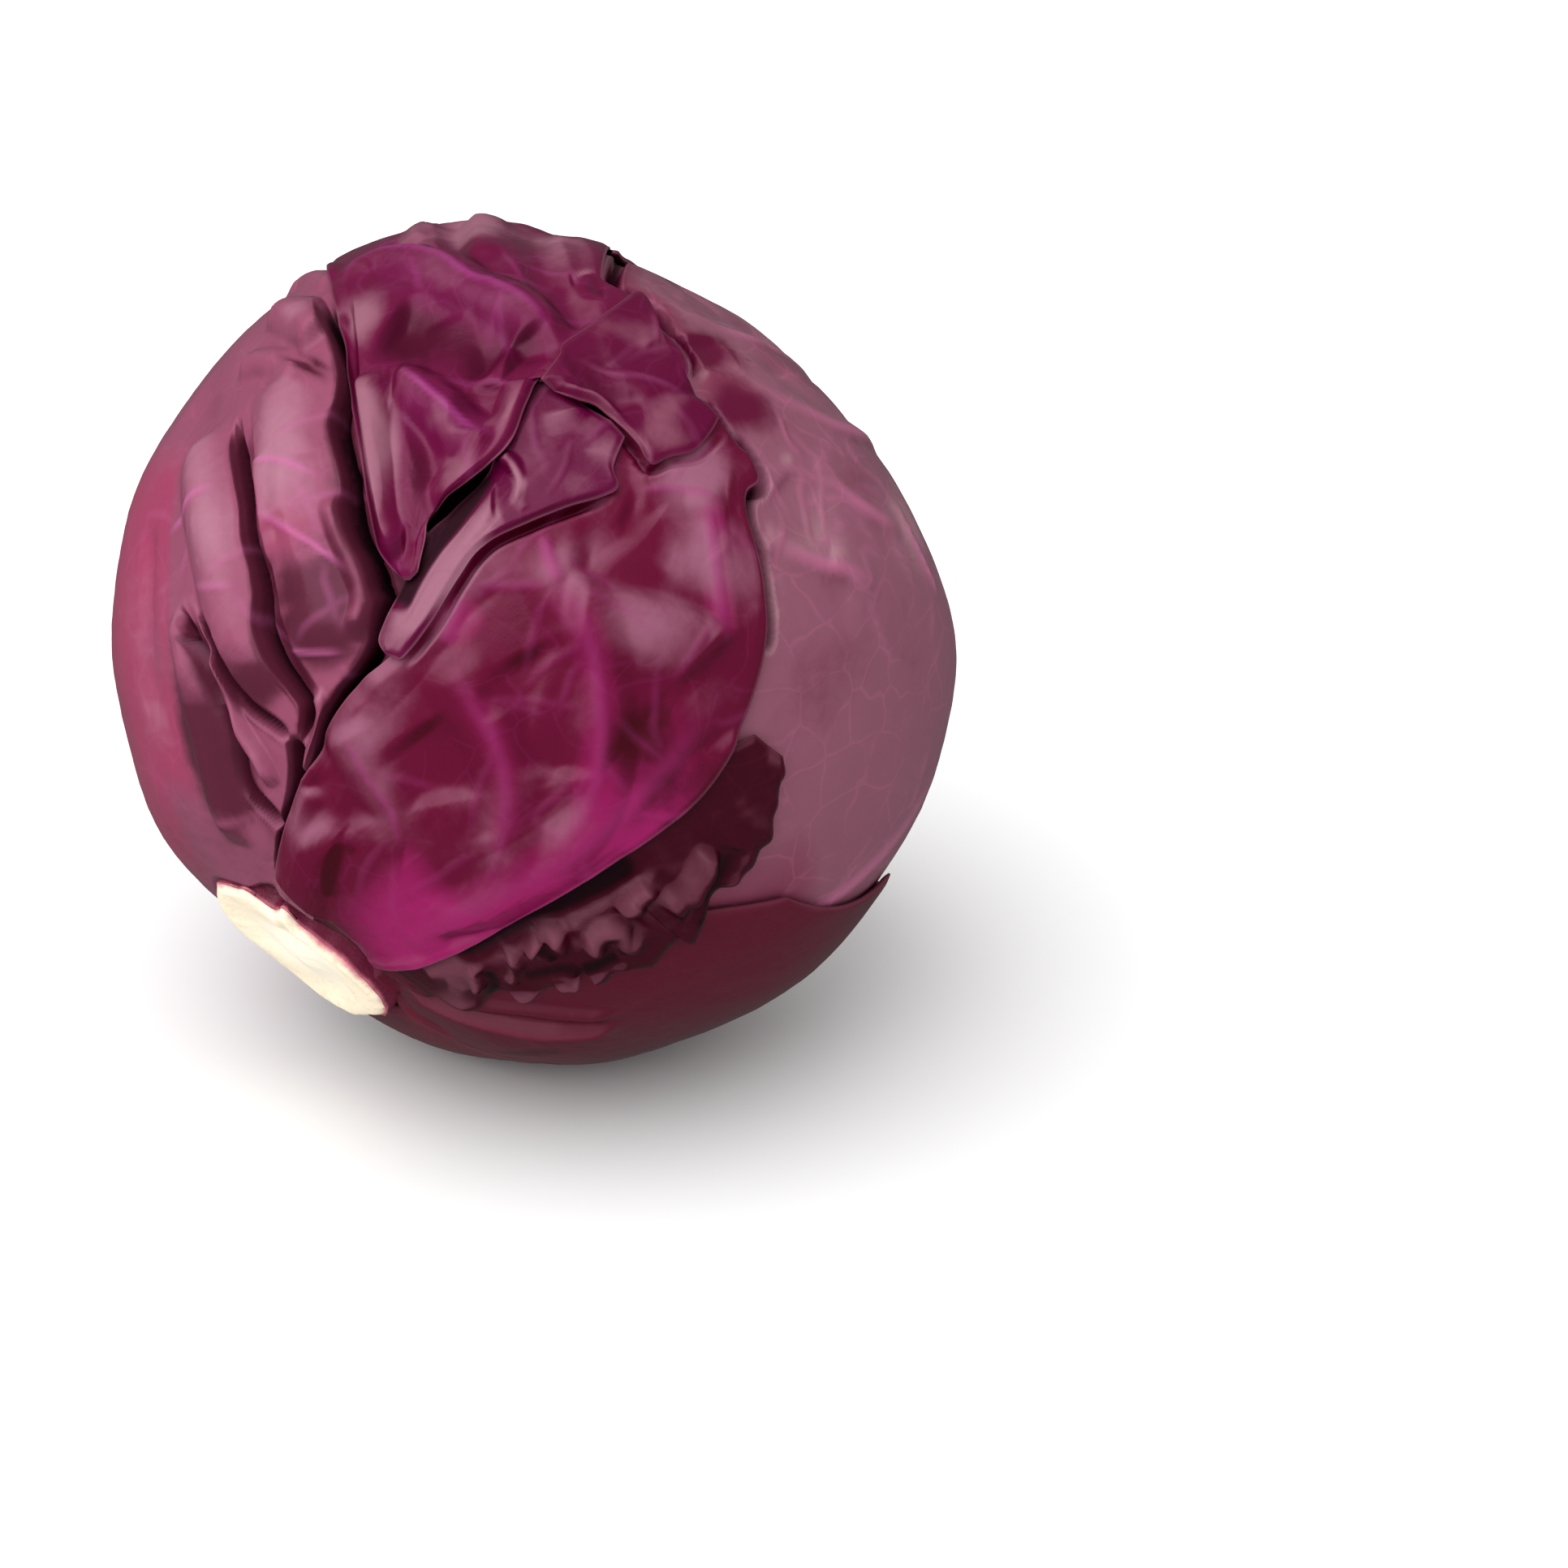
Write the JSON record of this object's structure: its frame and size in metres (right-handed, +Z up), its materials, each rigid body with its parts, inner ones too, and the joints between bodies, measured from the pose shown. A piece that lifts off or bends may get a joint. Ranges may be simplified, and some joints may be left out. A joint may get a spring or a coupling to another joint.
{
  "type": "red cabbage",
  "caption": "Round head of red cabbage lying on its side, with overlapping folded leaves and a cut pale stem.",
  "frame": {"origin": "centre of the small flat spot that the head rests on", "axes": "+Z up, away from the surface that it rests on; -Y towards the picture's viewer; the cut stem points to -X, -Y and down"},
  "size_m": [0.1587, 0.1596, 0.1581],
  "materials": {
    "stump": "moist cut stem, cream with a pink edge",
    "heart": "packed inner leaves, purple",
    "rear_leaf": "waxy purple leaf",
    "back_leaf": "waxy purple leaf",
    "right_leaf": "waxy purple-grey leaf with pale bloom",
    "under_leaf": "dark wine leaf, satin",
    "ruffled_leaf": "dark wine leaf with a crumpled edge",
    "left_leaf": "pink pleated leaf with waxy bloom",
    "front_leaf": "deep magenta leaf with arched veins, satin",
    "inner_leaf": "deep magenta leaf with a rolled edge",
    "crown_leaf": "deep magenta to purple-grey leaf",
    "tip_flap": "purple-pink leaf end"
  },
  "bodies": {
    "root": {"stump": "stump", "heart": "heart", "rear_leaf": "rear_leaf", "back_leaf": "back_leaf", "right_leaf": "right_leaf", "under_leaf": "under_leaf", "ruffled_leaf": "ruffled_leaf", "left_leaf": "left_leaf", "front_leaf": "front_leaf", "inner_leaf": "inner_leaf", "crown_leaf": "crown_leaf", "tip_flap": "tip_flap"}
  },
  "joints": []
}
